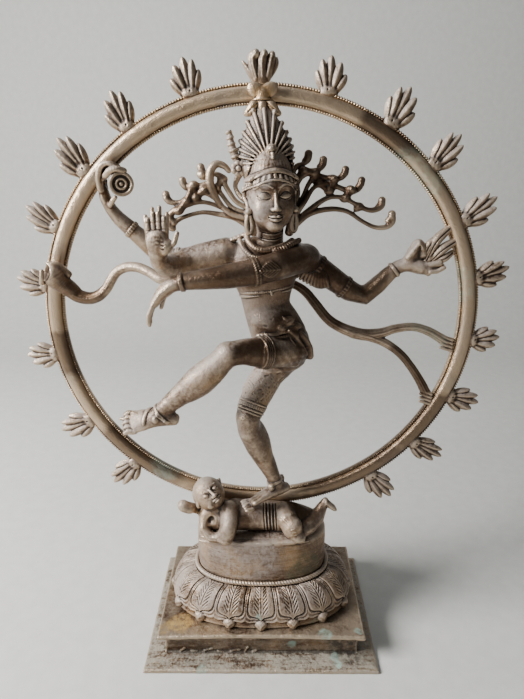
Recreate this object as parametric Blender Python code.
"""Cast brass dancer in a ring of flames, on a lotus pedestal and a stepped plinth.

Everything is in metres, +Z up, the front of the statue facing -Y. The origin lies at the
middle of the underside. Each casting is one closed solid with a hair of clearance to the next.
"""

from math import cos, pi, radians, sin, tau

import bmesh
import bpy
from mathutils import Matrix, Vector

MM = 0.001

# Driving dimensions, metres.
FOOT_WIDTH, FOOT_DEPTH = 0.2400, 0.1750
FOOT_LIP = 0.0035
NECK_WIDTH, NECK_DEPTH = 0.2000, 0.1340
NECK_BOTTOM = 0.0080
SLAB_WIDTH, SLAB_DEPTH = 0.2135, 0.1460
SLAB_THICKNESS = 0.0040
SLAB_TOP = 0.0320
WALL = 0.0035
DRUM_HALF_WIDTH, DRUM_HALF_DEPTH = 0.0695, 0.0415
DRUM_BOTTOM, DRUM_TOP = 0.0715, 0.1215
LOTUS_HALF_WIDTH, LOTUS_HALF_DEPTH = 0.1010, 0.0670
ROPE_RADIUS = 0.0022
RING_RADIUS = 0.1975
RING_HALF_WIDTH, RING_HALF_DEPTH = 0.0098, 0.0076
RING_HEIGHT = 0.3510
FLAME_LENGTH, TOP_FLAME_LENGTH = 0.0255, 0.0260
FLAME_HALF_DEPTH = 0.0040
OVAL_SIDES = 40
FLAME_LEAN = 11.0
RIGHT_FLAME_ANGLES = (16.5, 33.0, 48.0, 64.5, 80.5, 97.0, 113.5, 130.5, 147.0)
LEFT_FLAME_ANGLES = (17.5, 34.5, 50.0, 66.5, 82.5, 101.0, 122.0, 140.5)
GAP = 0.0003
SKIN = 0.00035

RING_CENTRE = Vector((0, 0, RING_HEIGHT))
BRASS = (0.33, 0.27, 0.20)
DARK_BRASS = (0.22, 0.19, 0.15)
PALE_BRASS = (0.47, 0.44, 0.39)


def clear_scene():
    for item in list(bpy.data.objects):
        bpy.data.objects.remove(item, do_unlink=True)


def finish_mesh(name, shape, smooth=True):
    """Turn a bmesh into a named object with its faces pointing out."""
    bmesh.ops.recalc_face_normals(shape, faces=shape.faces)
    mesh = bpy.data.meshes.new(name)
    shape.to_mesh(mesh)
    shape.free()
    if smooth:
        mesh.shade_smooth()
    item = bpy.data.objects.new(name, mesh)
    bpy.context.collection.objects.link(item)
    return item


def curve_points(points, steps):
    """Catmull-Rom points through rows of numbers, such as place and radii together."""
    rows = [Vector(row) for row in points]
    rows = [2 * rows[0] - rows[1]] + rows + [2 * rows[-1] - rows[-2]]
    out = []
    for before, start, end, after in zip(rows, rows[1:], rows[2:], rows[3:]):
        for step in range(steps):
            t = step / steps
            out.append(
                start
                + (end - before) * (t / 2)
                + (2 * before - 5 * start + 4 * end - after) * (t * t / 2)
                + (3 * start - before - 3 * end + after) * (t ** 3 / 2)
            )
    out.append(rows[-2])
    return out


def bridge(shape, rings):
    """Join neighbouring rings of vertices and close both ends."""
    for lower, upper in zip(rings, rings[1:]):
        count = len(lower)
        for i in range(count):
            j = (i + 1) % count
            shape.faces.new((lower[i], lower[j], upper[j], upper[i]))
    shape.faces.new(rings[0])
    shape.faces.new(rings[-1])


def limb(name, stations, sides=12, steps=2, across=(0, 1, 0), round_start=True, round_end=True):
    """A swept body through stations (x, y, z, half width, half thickness) in millimetres.

    across is the direction that the half width runs in. A small limb gets a simpler dome.
    """
    rows = curve_points(stations, steps)
    places = [Vector(row[:3]) * MM for row in rows]
    sizes = [Vector(row[3:5]) * MM for row in rows]
    sections = []
    for i, (place, size) in enumerate(zip(places, sizes)):
        ahead = places[min(i + 1, len(places) - 1)] - places[max(i - 1, 0)]
        sections.append((place, size, ahead.normalized()))
    start, end = sections[0], sections[-1]
    angles = (35, 65) if sides > 8 else (50,)
    if round_start:
        sections[0:0] = [dome_section(start, -1, angle) for angle in reversed(angles)]
    if round_end:
        sections += [dome_section(end, 1, angle) for angle in angles]
    shape = bmesh.new()
    rings = []
    for place, size, ahead in sections:
        wide = Vector(across)
        wide = (wide - ahead * wide.dot(ahead)).normalized()
        thick = ahead.cross(wide)
        ring = []
        for k in range(sides):
            turn = tau * k / sides
            ring.append(
                shape.verts.new(place + wide * size[0] * cos(turn) + thick * size[1] * sin(turn))
            )
        rings.append(ring)
    bridge(shape, rings)
    return finish_mesh(name, shape)


def dome_section(section, direction, angle):
    place, size, ahead = section
    reach = min(size) * sin(radians(angle)) * 0.85
    return place + ahead * direction * reach, size * cos(radians(angle)), ahead


def stack(name, outlines):
    """A solid through flat outlines, each a list of points in metres."""
    shape = bmesh.new()
    bridge(shape, [[shape.verts.new(point) for point in outline] for outline in outlines])
    return finish_mesh(name, shape)


def oval(half_width, half_depth, height, sides, power=2.0):
    """Points of a level oval; a power over 2 squares it off."""
    out = []
    for k in range(sides):
        turn = tau * k / sides
        c, s = cos(turn), sin(turn)
        x = half_width * abs(c) ** (2 / power) * (1 if c >= 0 else -1)
        y = half_depth * abs(s) ** (2 / power) * (1 if s >= 0 else -1)
        out.append(Vector((x, y, height)))
    return out


def rectangle(width, depth, height):
    return [
        Vector(
            (sx * width / 2, sy * depth / 2, height)
        ) for sx, sy in ((-1, -1), (1, -1), (1, 1), (-1, 1))
    ]


def ball(name, place, radii, sides=14, rings=8):
    shape = bmesh.new()
    bmesh.ops.create_uvsphere(shape, u_segments=sides, v_segments=rings, radius=1)
    size = Matrix.Diagonal((*[r * MM for r in radii], 1))
    bmesh.ops.transform(shape, matrix=Matrix.Translation(Vector(place) * MM) @ size, verts=shape.verts)
    return finish_mesh(name, shape)


def settle(item):
    """Keep the evaluated mesh, cleaned of slivers, and drop the modifiers."""
    bpy.context.view_layer.update()
    evaluated = item.evaluated_get(bpy.context.evaluated_depsgraph_get())
    mesh = bpy.data.meshes.new_from_object(evaluated)
    item.modifiers.clear()
    item.data = mesh
    return item


def combine(item, tool, operation):
    modifier = item.modifiers.new("cut", "BOOLEAN")
    modifier.solver = "EXACT"
    modifier.operation = operation
    modifier.object = tool
    settle(item)
    return item


def unite(item, *tools):
    for tool in tools:
        combine(item, tool, "UNION")
        bpy.data.objects.remove(tool, do_unlink=True)
    tidy_mesh(item, flatten=radians(4))
    return item


def tidy_mesh(item, flatten=0):
    """Merge points closer than a hair and keep only the largest connected body."""
    shape = bmesh.new()
    shape.from_mesh(item.data)
    bmesh.ops.remove_doubles(shape, verts=shape.verts, dist=0.00002)
    if flatten:
        bmesh.ops.dissolve_limit(shape, angle_limit=flatten, verts=shape.verts, edges=shape.edges)
    bmesh.ops.dissolve_degenerate(shape, edges=shape.edges, dist=0.00002)
    bmesh.ops.triangulate(shape, faces=shape.faces)
    groups = connected_groups(shape)
    groups.sort(key=lambda group: -extent(group))
    for group in groups[1:]:
        bmesh.ops.delete(shape, geom=group, context="VERTS")
    shape.to_mesh(item.data)
    shape.free()
    item.data.shade_smooth()


def extent(group):
    low = [min(v.co[i] for v in group) for i in range(3)]
    high = [max(v.co[i] for v in group) for i in range(3)]
    return sum(b - a for a, b in zip(low, high))


def connected_groups(shape):
    seen = set()
    groups = []
    for first in shape.verts:
        if first in seen:
            continue
        seen.add(first)
        group = [first]
        for vert in group:
            for edge in vert.link_edges:
                other = edge.other_vert(vert)
                if other not in seen:
                    seen.add(other)
                    group.append(other)
        groups.append(group)
    return groups


def clear_of(item, *neighbours):
    """Cut an item back from its neighbours by the clearance."""
    for neighbour in neighbours:
        tool = bpy.data.objects.new("cutter", neighbour.data.copy())
        bpy.context.collection.objects.link(tool)
        tool.matrix_world = neighbour.matrix_world
        shape = bmesh.new()
        shape.from_mesh(tool.data)
        shape.normal_update()
        offsets = [(vert, vert.normal * SKIN) for vert in shape.verts]
        for vert, offset in offsets:
            vert.co += offset
        shape.to_mesh(tool.data)
        shape.free()
        combine(item, tool, "DIFFERENCE")
        bpy.data.objects.remove(tool, do_unlink=True)
    tidy_mesh(item)
    return item


def paint(item, colour, roughness=0.45):
    material = bpy.data.materials.new(item.name)
    material.use_nodes = True
    shader = material.node_tree.nodes["Principled BSDF"]
    shader.inputs["Base Color"].default_value = (*colour, 1)
    shader.inputs["Roughness"].default_value = roughness
    shader.inputs["Metallic"].default_value = 0.9
    item.data.materials.clear()
    item.data.materials.append(material)
    return item


# Plinth, lotus and drum -------------------------------------------------------------------


def plinth_foot():
    """Sloping foot and recessed neck, hollow and open below."""
    slope_top = NECK_WIDTH + 2 * SLAB_THICKNESS, NECK_DEPTH + 2 * SLAB_THICKNESS
    neck_top = SLAB_TOP - SLAB_THICKNESS - GAP
    outer = [
        rectangle(FOOT_WIDTH, FOOT_DEPTH, 0),
        rectangle(FOOT_WIDTH, FOOT_DEPTH, FOOT_LIP),
        rectangle(*slope_top, NECK_BOTTOM),
        rectangle(NECK_WIDTH, NECK_DEPTH, NECK_BOTTOM),
        rectangle(NECK_WIDTH, NECK_DEPTH, neck_top),
    ]
    inner = [
        rectangle(FOOT_WIDTH - 2 * WALL, FOOT_DEPTH - 2 * WALL, 0),
        rectangle(FOOT_WIDTH - 2 * WALL, FOOT_DEPTH - 2 * WALL, FOOT_LIP - WALL / 2),
        rectangle(NECK_WIDTH - 2 * WALL, NECK_DEPTH - 2 * WALL, NECK_BOTTOM - WALL / 2),
        rectangle(NECK_WIDTH - 2 * WALL, NECK_DEPTH - 2 * WALL, neck_top),
    ]
    shape = bmesh.new()
    rings = [[shape.verts.new(point) for point in outline] for outline in outer + inner[::-1]]
    for lower, upper in zip(rings, rings[1:] + rings[:1]):
        for i in range(4):
            j = (i + 1) % 4
            shape.faces.new((lower[i], lower[j], upper[j], upper[i]))
    return finish_mesh("plinth_foot", shape, smooth=False)


def plinth_slab():
    bottom = SLAB_TOP - SLAB_THICKNESS
    edge = 0.0006
    return stack("plinth_slab", [
        rectangle(SLAB_WIDTH - 2 * edge, SLAB_DEPTH - 2 * edge, bottom),
        rectangle(SLAB_WIDTH, SLAB_DEPTH, bottom + edge),
        rectangle(SLAB_WIDTH, SLAB_DEPTH, SLAB_TOP - edge),
        rectangle(SLAB_WIDTH - 2 * edge, SLAB_DEPTH - 2 * edge, SLAB_TOP),
    ])


def lotus_pedestal():
    """Dome of petals under the drum, solid where the drum stands."""
    bottom, top = SLAB_TOP + GAP, DRUM_BOTTOM - GAP
    crown_width = DRUM_HALF_WIDTH + 3 * ROPE_RADIUS
    crown_depth = DRUM_HALF_DEPTH + 3 * ROPE_RADIUS
    levels = 4
    outlines = [oval(LOTUS_HALF_WIDTH - 0.003, LOTUS_HALF_DEPTH - 0.003, bottom, OVAL_SIDES, 2.3)]
    for i in range(levels + 1):
        turn = pi / 2 * i / levels
        spread, rise = cos(turn) ** 0.9, sin(turn)
        outlines.append(oval(
            crown_width + (LOTUS_HALF_WIDTH - crown_width) * spread,
            crown_depth + (LOTUS_HALF_DEPTH - crown_depth) * spread,
            bottom + 0.006 + (top - bottom - 0.006) * rise,
            OVAL_SIDES,
            2.3,
        ))
    return stack("lotus_pedestal", outlines)


def rope_moulding():
    """Bead lying on the lotus around the foot of the drum."""
    half_width = DRUM_HALF_WIDTH + ROPE_RADIUS + GAP
    half_depth = DRUM_HALF_DEPTH + ROPE_RADIUS + GAP
    middle = DRUM_BOTTOM + ROPE_RADIUS
    sides = 6
    rings = []
    shape = bmesh.new()
    for k in range(sides):
        turn = tau * (k + 0.5) / sides
        out, up = ROPE_RADIUS * cos(turn), ROPE_RADIUS * sin(turn)
        rings.append(
            [
                shape.verts.new(p) for p in oval(
                    half_width + out, half_depth + out, middle + up, OVAL_SIDES, 2.3,
                )
            ]
        )
    for lower, upper in zip(rings, rings[1:] + rings[:1]):
        for i in range(OVAL_SIDES):
            j = (i + 1) % OVAL_SIDES
            shape.faces.new((lower[i], lower[j], upper[j], upper[i]))
    return finish_mesh("rope_moulding", shape)


def drum_pedestal():
    edge = 0.006
    outlines = [oval(DRUM_HALF_WIDTH - 0.0006, DRUM_HALF_DEPTH - 0.0006, DRUM_BOTTOM, OVAL_SIDES, 2.3)]
    outlines.append(
        oval(DRUM_HALF_WIDTH - 0.0003, DRUM_HALF_DEPTH - 0.0003, DRUM_BOTTOM + 0.015, OVAL_SIDES, 2.3)
    )
    for i in range(4):
        turn = pi / 2 * i / 3
        inset = 0.0003 + edge * (1 - cos(turn))
        height = DRUM_TOP - edge + edge * sin(turn)
        outlines.append(
            oval(DRUM_HALF_WIDTH - inset, DRUM_HALF_DEPTH - inset, height, OVAL_SIDES, 2.3)
        )
    return stack("drum_pedestal", outlines)


# Ring and flames --------------------------------------------------------------------------


def halo_ring():
    sides, segments = 8, 72
    shape = bmesh.new()
    rings = []
    for s in range(segments):
        around = tau * s / segments
        ring = []
        for k in range(sides):
            turn = tau * (k + 0.5) / sides
            reach = RING_RADIUS + RING_HALF_WIDTH * cos(turn)
            ring.append(shape.verts.new((
                reach * sin(around),
                RING_HALF_DEPTH * sin(turn),
                RING_HEIGHT + reach * cos(around),
            )))
        rings.append(ring)
    for lower, upper in zip(rings, rings[1:] + rings[:1]):
        for i in range(sides):
            j = (i + 1) % sides
            shape.faces.new((lower[i], lower[j], upper[j], upper[i]))
    return finish_mesh("halo_ring", shape)


def halo_lug(grow=0):
    """Foot under the ring, hidden behind the dwarf, that carries it on the drum."""
    bottom = DRUM_TOP + GAP
    outlines = []
    for height, width, depth in (
        (-grow, 0.034, 0.017), (0.004, 0.030, 0.015), (0.030 + grow, 0.026, 0.015),
    ):
        outlines.append(oval(width / 2 + grow, depth / 2 + grow, bottom + height, 16, 4))
    return stack("halo_lug", outlines)


def flame(name, length, spread, lean, ring):
    """Palmette of five tongues on a pad, built on top of the ring and then cut to fit it."""
    base = RING_HEIGHT + RING_RADIUS + RING_HALF_WIDTH
    tongues = 5
    edge = [(-0.0048, -0.003), (-0.0044, 0.006)]
    for i in range(2 * tongues + 1):
        turn = radians(spread) * (i / (2 * tongues) - 0.5)
        reach = length * (1.0 if i % 2 else 0.82)
        edge.append((sin(turn) * reach * 1.15, cos(turn) * reach))
    edge += [(-x, z) for x, z in reversed(edge[:2])]
    tilt = Matrix.Rotation(radians(-lean), 2)
    middle = Vector((0, length / 2))
    outlines = []
    for depth, inset in ((-1, 0.82), (-0.5, 1), (0.5, 1), (1, 0.82)):
        points = [tilt @ (middle + (Vector(point) - middle) * inset) for point in edge]
        outlines.append([Vector((x, depth * FLAME_HALF_DEPTH, base + z)) for x, z in points])
    return clear_of(stack(name, outlines), ring)


def flames(ring):
    """One flame at the top and the rest down both sides, each leaning a little upward."""
    made = [flame("flame_00_top", TOP_FLAME_LENGTH, 62, 0, ring)]
    for sign, angles in ((1, RIGHT_FLAME_ANGLES), (-1, LEFT_FLAME_ANGLES)):
        pattern = flame("pattern", FLAME_LENGTH, 52, -sign * FLAME_LEAN, ring)
        for angle in angles:
            copy = bpy.data.objects.new(f"flame_{len(made):02d}", pattern.data.copy())
            bpy.context.collection.objects.link(copy)
            turn = Matrix.Rotation(radians(angle) * sign, 4, "Y")
            copy.matrix_world = Matrix.Translation(RING_CENTRE) @ turn @ Matrix.Translation(
                -RING_CENTRE
            )
            made.append(copy)
        bpy.data.objects.remove(pattern, do_unlink=True)
    return made


# Figure -----------------------------------------------------------------------------------


def torso():
    return limb("torso", [
        (15, -13, 303, 15, 13), (18, -13, 314, 24, 18), (19, -13, 327, 27.5, 20), (
            16, -14, 339, 26.5, 19.5,
        ),
        (
            11, -15, 351, 24.5, 18,
        ), (5, -15, 365, 22, 15.5), (4, -15, 378, 24, 16.5), (3, -16, 392, 30, 19),
        (2, -17, 404, 34, 20), (2, -17, 412, 33, 18), (4, -18, 420, 24, 14.5), (
            6, -19, 428, 12.5, 11.5,
        ),
    ], 20, 1, (1, 0, 0), round_end=False)


def head():
    """Neck, jaw, skull and nose mass, with the long ear pendants."""
    item = ball("head", (8, -24, 463), (20, 21, 25), 16, 10)
    neck = limb(
        "neck", [(6, -19, 426, 11, 11), (7, -20, 436, 10, 10.5), (8, -22, 450, 11, 12)], 12, 1,
        (1, 0, 0),
    )
    jaw = limb(
        "jaw", [(9, -31, 443, 10.5, 9), (9, -30, 452, 16, 13.5), (8.5, -29, 464, 18, 15)], 12, 1,
        (1, 0, 0),
    )
    nose = limb("nose", [(9, -43.5, 467, 1.6, 2.2), (9, -45.6, 458, 2.8, 3.0)], 8, 1, (1, 0, 0))
    band = limb("band", [(8, -24, 479, 20.5, 20.5), (8, -23, 486, 19.5, 19.5)], 16, 1, (1, 0, 0))
    ears = []
    for x, lean in ((-12, -2), (27.5, 1.5)):
        ears.append(
            limb(
                "ear",
                [
                    (x, -24, 462, 2.6, 3.4), (x + lean, -24, 450, 2.6, 3.6),
                    (x + 2 * lean, -22, 437, 3.0, 4.0),
                ],
                8, 1, (0, 0.2, 1),
            )
        )
    return unite(item, neck, jaw, nose, band, *ears)


def crown():
    """Fan of ribs over the head, leaning back, with its boss in front."""
    item = limb("crown", [
        (5, -20, 486, 23, 17), (4, -18, 498, 26, 15), (
            3, -15.5, 511, 22.5, 12.5,
        ), (2, -13, 524, 16.5, 10),
        (1.5, -11, 533, 11.5, 8), (1.5, -10, 539, 6, 5),
    ], 16, 1, (1, 0, 0))
    return unite(item, ball("boss", (9, -31.5, 501), (6.5, 6, 6.5), 10, 6))


def hair_strand(side, root, end, arch):
    """One strand that rises from the head, flattens out and hooks upward at its knob."""
    root, end = Vector(root), Vector(end)
    span = end - root
    stations = []
    for share, rise, size in (
        (0, 0, 2.4), (0.3, 0.13, 2.0), (0.58, 0.09, 2.0), (0.85, -0.05, 2.3), (1, 0, 2.6),
    ):
        x, z = root + span * share
        stations.append((x, -14 + 6 * share, z + arch * rise * span.length, size, size))
    stations.append((end.x + side, -8, end.y + 5, 2.2, 2.2))
    return limb("strand", stations, 6, 1, round_start=False)


def hair_fan(name, side, root, ends, web):
    """Strands from behind the ear, tied by the knobbly web of flowers halfway out."""
    x0, z0 = root
    item = limb(
        name,
        [(x0 - side * 4, -14, z0 - 14, 4, 4), (x0, -14, z0, 5, 5), (x0 - side * 1, -14, z0 + 20, 4, 4)],
        8, 1,
    )
    for i, end in enumerate(ends):
        share = i / (len(ends) - 1)
        start = (x0 - side * 2, z0 - 11 + 26 * share)
        unite(item, hair_strand(side, start, end, 1 - 0.7 * share))
    unite(item, limb("web", [(*place, 3.6, 3.4) for place in web], 8, 2))
    return item


def hair_ornament():
    """Flower disc and curved bud tucked between the crown and the left hair."""
    item = limb(
        "hair_ornament", [(-19, -27, 488, 7, 7), (-19, -21, 488, 7, 7)], 12, 1, (1, 0, 0),
        round_start=False, round_end=False,
    )
    bud = limb(
        "bud",
        [
            (-20, -22, 492, 3.4, 3.4), (-24, -21, 501, 3.8, 3.8), (-26, -20, 511, 3.2, 3.2),
            (-25, -19, 518, 2.6, 2.6),
        ],
        8, 1,
    )
    return unite(item, bud)


def fingers(item, stations):
    for finger in stations:
        unite(item, limb("finger", finger, 6, 1, (0.3, 1, 0.2), round_start=False))
    return item


def front_left_arm():
    """Arm across the chest, its hand hanging loose."""
    item = limb("front_left_arm", [
        (41, -16, 411, 14, 13.5), (30, -31, 412, 14, 13.5), (
            12, -48, 408.5, 12.5, 12.5,
        ), (-8, -57, 405, 12, 11.8),
        (
            -30, -62, 402.5, 10.8, 10.6,
        ), (-50, -64, 400.5, 9, 8.6), (-66, -65, 398.5, 7.6, 7.2), (-75, -65, 395.5, 8, 6),
        (-84, -65, 388.5, 8.5, 5.2), (-90, -65, 380, 8.3, 4.4),
    ], 12, 1)
    hanging = []
    for i, drop in enumerate((361, 358.5, 359.5, 364)):
        y = -71.2 + 4.1 * i
        hanging.append(
            [(-89.5, y, 381, 2.6, 2.6), (-94, y, 371, 2.3, 2.3), (-94.5, y + 0.4, drop + 3, 1.9, 1.9)]
        )
    hanging.append(
        [(-80, -58, 390, 2.8, 2.8), (-84, -55.5, 381, 2.5, 2.4), (-86, -55.5, 374, 2.1, 2.0)]
    )
    return fingers(item, hanging)


def front_right_arm():
    """Bent arm with its open palm raised to the front."""
    item = limb("front_right_arm", [
        (-33, -16, 415, 14, 14), (
            -50, -17, 412.5, 13.2, 13,
        ), (-66, -20, 409, 12.5, 12), (-77, -30, 406.5, 11, 11),
        (-83, -44, 408.5, 9.4, 9.4), (-85.5, -55, 414, 7.8, 7.6), (-85, -60, 422, 8.4, 6), (
            -84.5, -61.5, 431, 10, 5.2,
        ),
        (-84.5, -61.5, 439, 10, 4.4),
    ], 12, 1, (1, 0, 0.15))
    raised = []
    for i, top in enumerate((454, 460, 461, 456)):
        x = -92 + 4.9 * i
        raised.append(
            [
                (x, -61.5, 437, 2.7, 2.7), (x + 0.6 * i - 0.9, -62, 448, 2.5, 2.4),
                (x + 0.9 * i - 1.3, -61, top - 2, 2.0, 2.0),
            ]
        )
    raised.append([(-77, -62, 425, 3.2, 3.0), (-70.5, -64, 431, 2.8, 2.6), (-67.5, -65, 439, 2.2, 2.1)])
    return fingers(item, raised)


def back_right_arm():
    """Arm reaching back to the ring, its fingers around the hand drum."""
    item = limb("back_right_arm", [
        (-30, -6, 416, 12.5, 12.5), (-48, 0, 412, 12.2, 12), (
            -68, 4, 406.5, 11.5, 11.5,
        ), (-86, 6, 406, 10.8, 10.6),
        (
            -101, 5, 416, 9.6, 9.4,
        ), (-117, 3, 431, 8.2, 8), (-131, 1, 444.5, 7, 6.8), (-137, 0, 453, 8, 5.6),
        (-141, -1, 463, 9, 5), (-142, -2, 470, 8.6, 4.2),
    ], 12, 1)
    curled = []
    for i in range(4):
        y = -9 + 4.4 * i
        curled.append(
            [
                (-142, y, 468, 2.6, 2.6), (-140.5, y - 1.5, 478, 2.5, 2.4),
                (-134, y - 3, 484.5, 2.2, 2.2), (-127, y - 4, 484, 1.9, 1.9),
            ]
        )
    curled.append(
        [(-136, -7, 455, 2.8, 2.8), (-131.5, -11, 461, 2.5, 2.5), (-127, -13, 465.5, 2.1, 2.1)]
    )
    return fingers(item, curled)


def hand_drum():
    """Hourglass drum lying on its side, one head turned to the front."""
    profile = ((-12, 6.5), (-10.5, 8.8), (-8, 8.6), (0, 4.6), (8, 8.6), (10.5, 8.8), (12, 6.5))
    axis = Matrix.Rotation(radians(14), 4, "Z")
    shape = bmesh.new()
    rings = []
    for along, radius in profile:
        ring = []
        for k in range(14):
            turn = tau * k / 14
            point = Vector((radius * cos(turn), along, radius * sin(turn))) * MM
            ring.append(shape.verts.new(axis @ point + Vector((-125, -4, 471.5)) * MM))
        rings.append(ring)
    bridge(shape, rings)
    return finish_mesh("hand_drum", shape)


def back_left_arm():
    """Arm reaching out to the ring, palm up under the flame it holds."""
    item = limb("back_left_arm", [
        (
            33, -10, 411, 13.5, 13,
        ), (49, -6, 402, 13, 12.5), (66, -3, 390, 12, 11.5), (84, -1, 377, 11, 10.5),
        (
            98, 0, 372.5, 10.2, 9.6,
        ), (110, 0, 383, 9, 8.6), (120, 0, 393.5, 7.8, 7.5), (128, 0, 400, 6.8, 6.8),
        (137, -1, 403, 8.5, 7.4), (148, -2, 400, 9.5, 7), (156, -2, 398, 9, 5.4),
    ], 12, 1)
    cupped = []
    for i in range(4):
        y = -9.5 + 4.6 * i
        cupped.append(
            [(154, y, 397, 2.7, 2.7), (162, y, 397.5, 2.6, 2.5), (168.5, y, 401 + i, 2.2, 2.2)]
        )
    cupped.append(
        [
            (134, -6, 408, 3.4, 3.2), (139, -8, 416, 3.4, 3.2), (144, -8, 423, 3.2, 3.0),
            (147.5, -7.5, 418, 2.4, 2.2),
        ]
    )
    return fingers(item, cupped)


def hand_flame():
    """Tongues of fire rising from the palm to the ring."""
    item = limb(
        "hand_flame", [(151, -1, 405.5, 4, 4), (157, -1, 411, 4.5, 4.5), (165, -1, 420, 4, 4)], 8, 1,
    )
    for i, (x, z) in enumerate(((158, 427), (166, 433), (176, 437), (180, 424))):
        start = (152 + 1.5 * i, -1, 407, 2.2, 3)
        middle = ((152 + x) / 2 + i, -2.5, (409 + z) / 2, 2.8, 2.8)
        unite(item, limb("tongue", [start, middle, (x, -1.5, z, 1.6, 1.8)], 6, 1))
    return item


def toes(item, ankle_side, ball_side, spread, reach, count=5):
    """Short round toes along the front edge of a foot; vectors are in millimetres."""
    base, across, ahead = Vector(ankle_side), Vector(spread), Vector(reach)
    for i in range(count):
        share = i / (count - 1) - 0.5
        size = ball_side * (1.25 if i == 0 else 1.0 - 0.05 * i)
        start = base + across * share
        tip = start + ahead * (1 - 0.09 * i)
        unite(
            item,
            limb(
                "toe",
                [
                    (*start, size, size), (*start.lerp(tip, 0.6), size * 1.02, size * 0.95),
                    (*tip, size * 0.8, size * 0.8),
                ],
                6, 1, tuple(across), False,
            ),
        )
    return item


def raised_leg():
    """Thigh and shin swung across the front, the foot high at the left."""
    item = limb("raised_leg", [
        (28, -19, 325, 16, 15.5), (14, -31, 327, 15.5, 15), (
            -1, -43, 329.5, 14.4, 14.4,
        ), (-16, -51, 333, 12, 11.8),
        (
            -29, -56, 332, 11.6, 11.8,
        ), (-40, -57, 321.5, 12, 12), (-56, -57, 308, 12.2, 12.8), (-72, -56, 294, 10, 10.8),
        (-86, -54.5, 281.5, 7.8, 8.4), (-93, -53.5, 274.5, 8, 8),
    ], 16, 1, (0, 1, 0.4))
    tilt = (0.42, -0.62, -0.66)
    foot = limb("foot", [
        (
            -80, -54, 268.5, 6.5, 6.5,
        ), (-88, -54, 270, 8, 8.2), (-98, -53.5, 269.5, 9, 8.6), (-109, -53, 267, 10.8, 6.4),
        (-118, -52.5, 264.5, 11.5, 4.4),
    ], 12, 1, tilt)
    unite(item, foot)
    return toes(item, (-119, -52.5, 264.2), 2.5, tuple(21 * c for c in tilt), (-11, 1.0, -2.0))


def standing_leg():
    """Bent leg that carries the figure, its foot on the dwarf's back."""
    item = limb("standing_leg", [
        (12, -13, 308, 16, 16), (6.5, -15, 297, 15.4, 16), (
            -4, -22, 282, 15.4, 15.6,
        ), (-8, -27, 272, 13.6, 14.4), (-13, -32, 260, 12.2, 13),
        (
            -12, -33, 247, 11.2, 12.2,
        ), (-4, -28, 227, 11.6, 12.6), (5, -23, 206, 9.8, 10.6), (12, -20.5, 189, 7.4, 8.2),
        (15, -20, 178, 7.6, 8.2),
    ], 16, 1, (1, 0, 0))
    tilt = (0.45, 0.89, 0.0)
    foot = limb("foot", [
        (25, -16, 173.5, 6, 5.5), (17, -20, 174, 7.8, 7.2), (8, -24.5, 172, 8.6, 6.4), (
            -2, -29.5, 168.5, 9.6, 5,
        ), (-9, -33, 166, 10.2, 3.8),
    ], 12, 1, tilt)
    unite(item, foot)
    return toes(item, (-9.5, -33.2, 165.8), 2.3, tuple(18 * c for c in tilt), (-9.5, -4.6, -2.4))


def sash():
    """Flying end of the waist cloth, forked where it meets the ring."""
    item = limb("sash", [
        (
            24, 6, 382, 3.2, 5.5,
        ), (40, 5, 375, 3.4, 5.6), (54, 4, 361, 3.4, 5.8), (68, 3, 346, 3.4, 6), (86, 2, 337, 3.4, 6.4),
        (108, 1, 333, 3.6, 7), (
            126, 0.5, 338, 3.6, 5.5,
        ), (146, 0, 341, 3.6, 5), (166, 0, 335, 4, 5), (184, 0, 324, 5, 5.4),
    ], 10, 1)
    lower = limb("tail", [
        (
            104, 1, 331.5, 3.4, 5.4,
        ), (
            122, 0.5, 324, 3.4, 5,
        ), (139, 0, 311, 3.4, 4.8), (154, 0, 292, 3.8, 4.8), (170, 0, 265, 5, 5.2),
    ], 10, 1)
    return unite(item, lower)


def cobra():
    """Snake winding from the raised forearm to the ring, its hood spread on the ring."""
    return limb("cobra", [
        (-74, -31, 394, 3.4, 3.4), (-86, -34, 394, 4.4, 4.6), (
            -100, -28, 400, 4.4, 4.6,
        ), (-118, -22, 403, 4.4, 4.6), (-131, -19, 400, 4.5, 4.8),
        (
            -139, -18, 390, 4.6, 4.8,
        ), (-146, -17, 380, 5, 5), (-158, -16, 372.5, 6, 6), (-172, -15, 374, 8, 8),
        (-183, -14, 383, 9, 10), (-190, -13, 395, 8.5, 11.5), (-194, -12, 403, 6, 9),
    ], 12, 1, (0, 1, 0))


def crown_clasp():
    """Three-lobed bracket that ties the crown and the top of the ring together."""
    item = limb(
        "crown_clasp",
        [
            (0.8, -10, 534, 6, 3.5), (0.8, -11, 545, 5.4, 4), (0.8, -11, 557, 6, 4),
            (0.8, -8.5, 564, 5, 3.4),
        ],
        10, 1, (1, 0, 0),
    )
    for side in (-1, 1):
        lobe = [
            (1 + side * 3, -10.5, 546, 3, 3), (1 + side * 9, -10, 544, 4, 3.2),
            (1 + side * 13, -9.5, 538.5, 3.2, 2.8),
        ]
        unite(item, limb("lobe", lobe, 8, 1))
    return item


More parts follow.
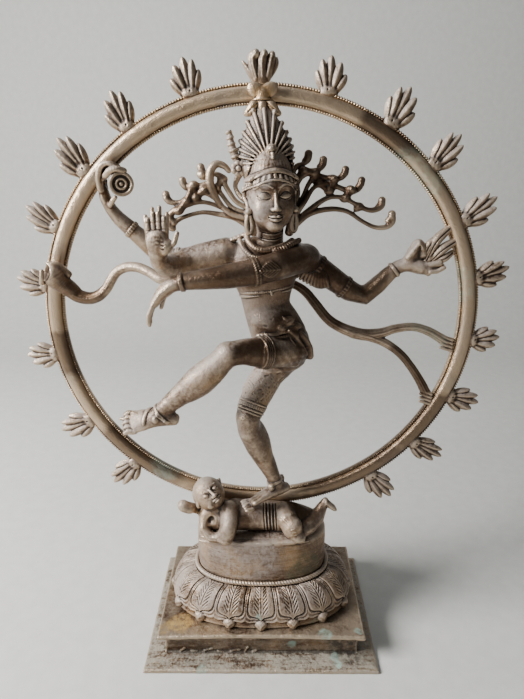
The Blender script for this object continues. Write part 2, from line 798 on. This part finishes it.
def dwarf():
    """Small figure lying on the drum, head at the left, knee bent to the front."""
    floor = (DRUM_TOP + GAP) / MM
    item = limb("dwarf", [
        (-42, -20, 141, 15, 15), (-28, -18, 142, 16, 17), (
            -8, -18, 141, 15.5, 16,
        ), (12, -17, 140, 16, 15.5), (30, -16, 138, 17, 15),
        (44, -12, 133, 14, 12),
    ], 14, 1)
    parts = [
        ball("skull", (-55, -24, 171), (16.5, 15.5, 17.5), 14, 8),
        limb("neck", [(-50, -22, 160, 9, 9), (-40, -20, 148, 11, 11)], 10, 1),
        limb("nose", [(-52, -38.5, 171, 2, 2), (-51, -40, 165, 2.8, 2.4)], 6, 1, (1, 0, 0)),
        limb(
            "far_arm",
            [
                (-50, -14, 148, 7, 7), (-66, -17, 147, 6, 6), (-77, -22, 153, 5.6, 5.6),
                (-82, -25, 158, 5.2, 5.2),
            ],
            8, 1,
        ),
        limb(
            "near_arm",
            [
                (-34, -30, 150, 7.5, 7.5), (-36, -38, 137, 6.8, 6.8), (-42, -38, 127, 6.2, 6.2),
                (-52, -36, 126, 5.6, 5.6), (-60, -31, 133, 5.8, 5.8), (-58, -22, 145, 7, 7),
            ],
            8, 1, (0.2, 1, 0.1),
        ),
        limb(
            "thigh",
            [
                (22, -20, 146, 12, 12), (27, -31, 144, 11, 11), (33, -38, 134, 8.6, 8.6),
                (40, -38.5, 128, 6, 6),
            ],
            10, 1, (1, 0, 0),
        ),
        limb(
            "shin",
            [
                (36, -36, 129, 7, 7), (49, -27, 133, 8.5, 9), (59, -17, 137, 8, 8),
                (65, -10, 145, 5.4, 5.4),
            ],
            8, 1, (0, 0.3, 1),
        ),
        limb("foot", [(62, -10, 145, 5, 4), (69, -11, 152, 5, 4), (76, -12, 146, 4.2, 3.4)], 8, 1),
    ]
    unite(item, *parts)
    shape = bmesh.new()
    shape.from_mesh(item.data)
    geometry = shape.verts[:] + shape.edges[:] + shape.faces[:]
    cut = bmesh.ops.bisect_plane(
        shape, geom=geometry, plane_co=(0, 0, floor * MM), plane_no=(0, 0, -1), clear_outer=True
    )
    edges = [part for part in cut["geom_cut"] if isinstance(part, bmesh.types.BMEdge)]
    bmesh.ops.contextual_create(shape, geom=edges)
    bmesh.ops.triangulate(shape, faces=shape.faces)
    shape.to_mesh(item.data)
    shape.free()
    tidy_mesh(item)
    return item


def build():
    clear_scene()
    base = [plinth_foot(), plinth_slab(), lotus_pedestal(), rope_moulding(), drum_pedestal()]
    ring = halo_ring()
    fire = flames(ring)
    lug = clear_of(halo_lug(), ring)
    body = torso()
    leg = standing_leg()
    clear_of(leg, body)
    raised = clear_of(raised_leg(), body)
    skull = clear_of(head(), body)
    front_right = clear_of(front_right_arm(), body)
    front_left = clear_of(front_left_arm(), body)
    drum = clear_of(hand_drum(), ring)
    back_right = clear_of(back_right_arm(), body, front_right, ring, drum)
    back_left = clear_of(back_left_arm(), body, front_left, ring)
    palm_flame = clear_of(hand_flame(), back_left, ring)
    fan = clear_of(crown(), skull, ring)
    flower = clear_of(hair_ornament(), skull, fan)
    left_ends = [(-81, 437), (-85, 461), (-69, 472), (-52, 482), (-40, 488)]
    left_web = [(-66, -10, 447), (-60, -10, 457), (-50, -10, 467), (-40, -10, 476), (-33, -10, 484)]
    right_ends = [(118, 442), (106, 455), (89.5, 472), (73, 480), (53.5, 488), (40, 495)]
    right_web = [(84, -10, 449), (76, -10, 461), (63, -10, 471), (49, -10, 479), (38, -10, 486)]
    hair_left = clear_of(
        hair_fan("hair_fan_left", -1, (-13, 452), left_ends, left_web), skull, fan, flower, body,
    )
    hair_right = clear_of(
        hair_fan("hair_fan_right", 1, (28, 452), right_ends, right_web), skull, fan, body,
    )
    clasp = clear_of(crown_clasp(), ring, fan, fire[0])
    tail = clear_of(sash(), body, ring)
    snake = clear_of(cobra(), front_right, ring)
    imp = dwarf()
    pocket = halo_lug(grow=2 * GAP)
    combine(imp, pocket, "DIFFERENCE")
    bpy.data.objects.remove(pocket, do_unlink=True)
    clear_of(imp, ring, leg)
    for item in base + [lug, clasp, tail]:
        paint(item, BRASS)
    for item in [ring, body, leg, raised, front_left, front_right, back_left, back_right, imp]:
        paint(item, BRASS)
    for item in [skull, fan, flower, hair_left, hair_right, drum, snake]:
        paint(item, DARK_BRASS)
    paint(palm_flame, PALE_BRASS)
    paint(fire[0], PALE_BRASS)
    for item in fire[1:]:
        paint(item, PALE_BRASS)


build()
